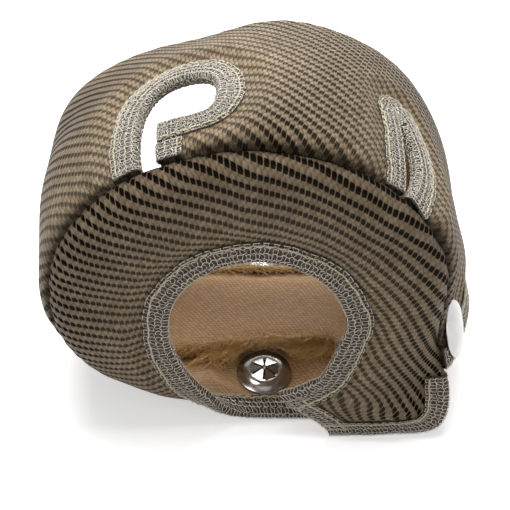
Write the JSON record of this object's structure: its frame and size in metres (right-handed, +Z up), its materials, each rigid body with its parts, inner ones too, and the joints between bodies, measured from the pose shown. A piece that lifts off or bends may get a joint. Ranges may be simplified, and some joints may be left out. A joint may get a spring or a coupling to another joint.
{
  "type": "turbo heat blanket",
  "caption": "Soft insulating jacket that wraps a turbocharger's turbine housing: front wall, band and rear wall, with taped openings and lacing anchors at its ends.",
  "frame": {"origin": "middle of the footprint, on the table the blanket stands on", "axes": "+Z up, the front wall with its outlet opening faces -Y, +X to the right as seen from the front"},
  "size_m": [0.2318, 0.1708, 0.1858],
  "materials": {
    "cover": "coarse twill of basalt fibre, coated",
    "insulation": "needled silica mat",
    "lining": "smooth silica cloth",
    "seam_allowance": "frayed and overlocked cloth edges",
    "wire_tape": "knitted stainless wire tape",
    "steel": "polished stainless steel"
  },
  "bodies": {
    "root": {"front_cover": "cover", "front_insulation": "insulation", "front_lining": "lining", "band_cover": "cover", "band_insulation": "insulation", "band_lining": "lining", "rear_cover": "cover", "rear_insulation": "insulation", "rear_lining": "lining", "front_seam_allowance": "seam_allowance", "rear_seam_allowance": "seam_allowance", "opening_binding": "wire_tape", "flap_binding": "wire_tape", "slit_binding": "wire_tape", "rear_opening_binding": "wire_tape", "band_end_binding": "wire_tape", "rear_end_binding": "wire_tape", "tail_front_end_binding": "wire_tape", "tail_band_end_binding": "wire_tape", "tail_rear_end_binding": "wire_tape", "notch_binding": "wire_tape", "notch_tab_binding": "wire_tape", "slot_binding": "wire_tape", "front_right_anchor": "steel", "front_right_washer": "steel", "rear_right_anchor": "steel", "rear_right_washer": "steel", "front_tail_anchor": "steel", "front_tail_washer": "steel", "rear_tail_anchor": "steel", "rear_tail_washer": "steel"}
  },
  "joints": []
}
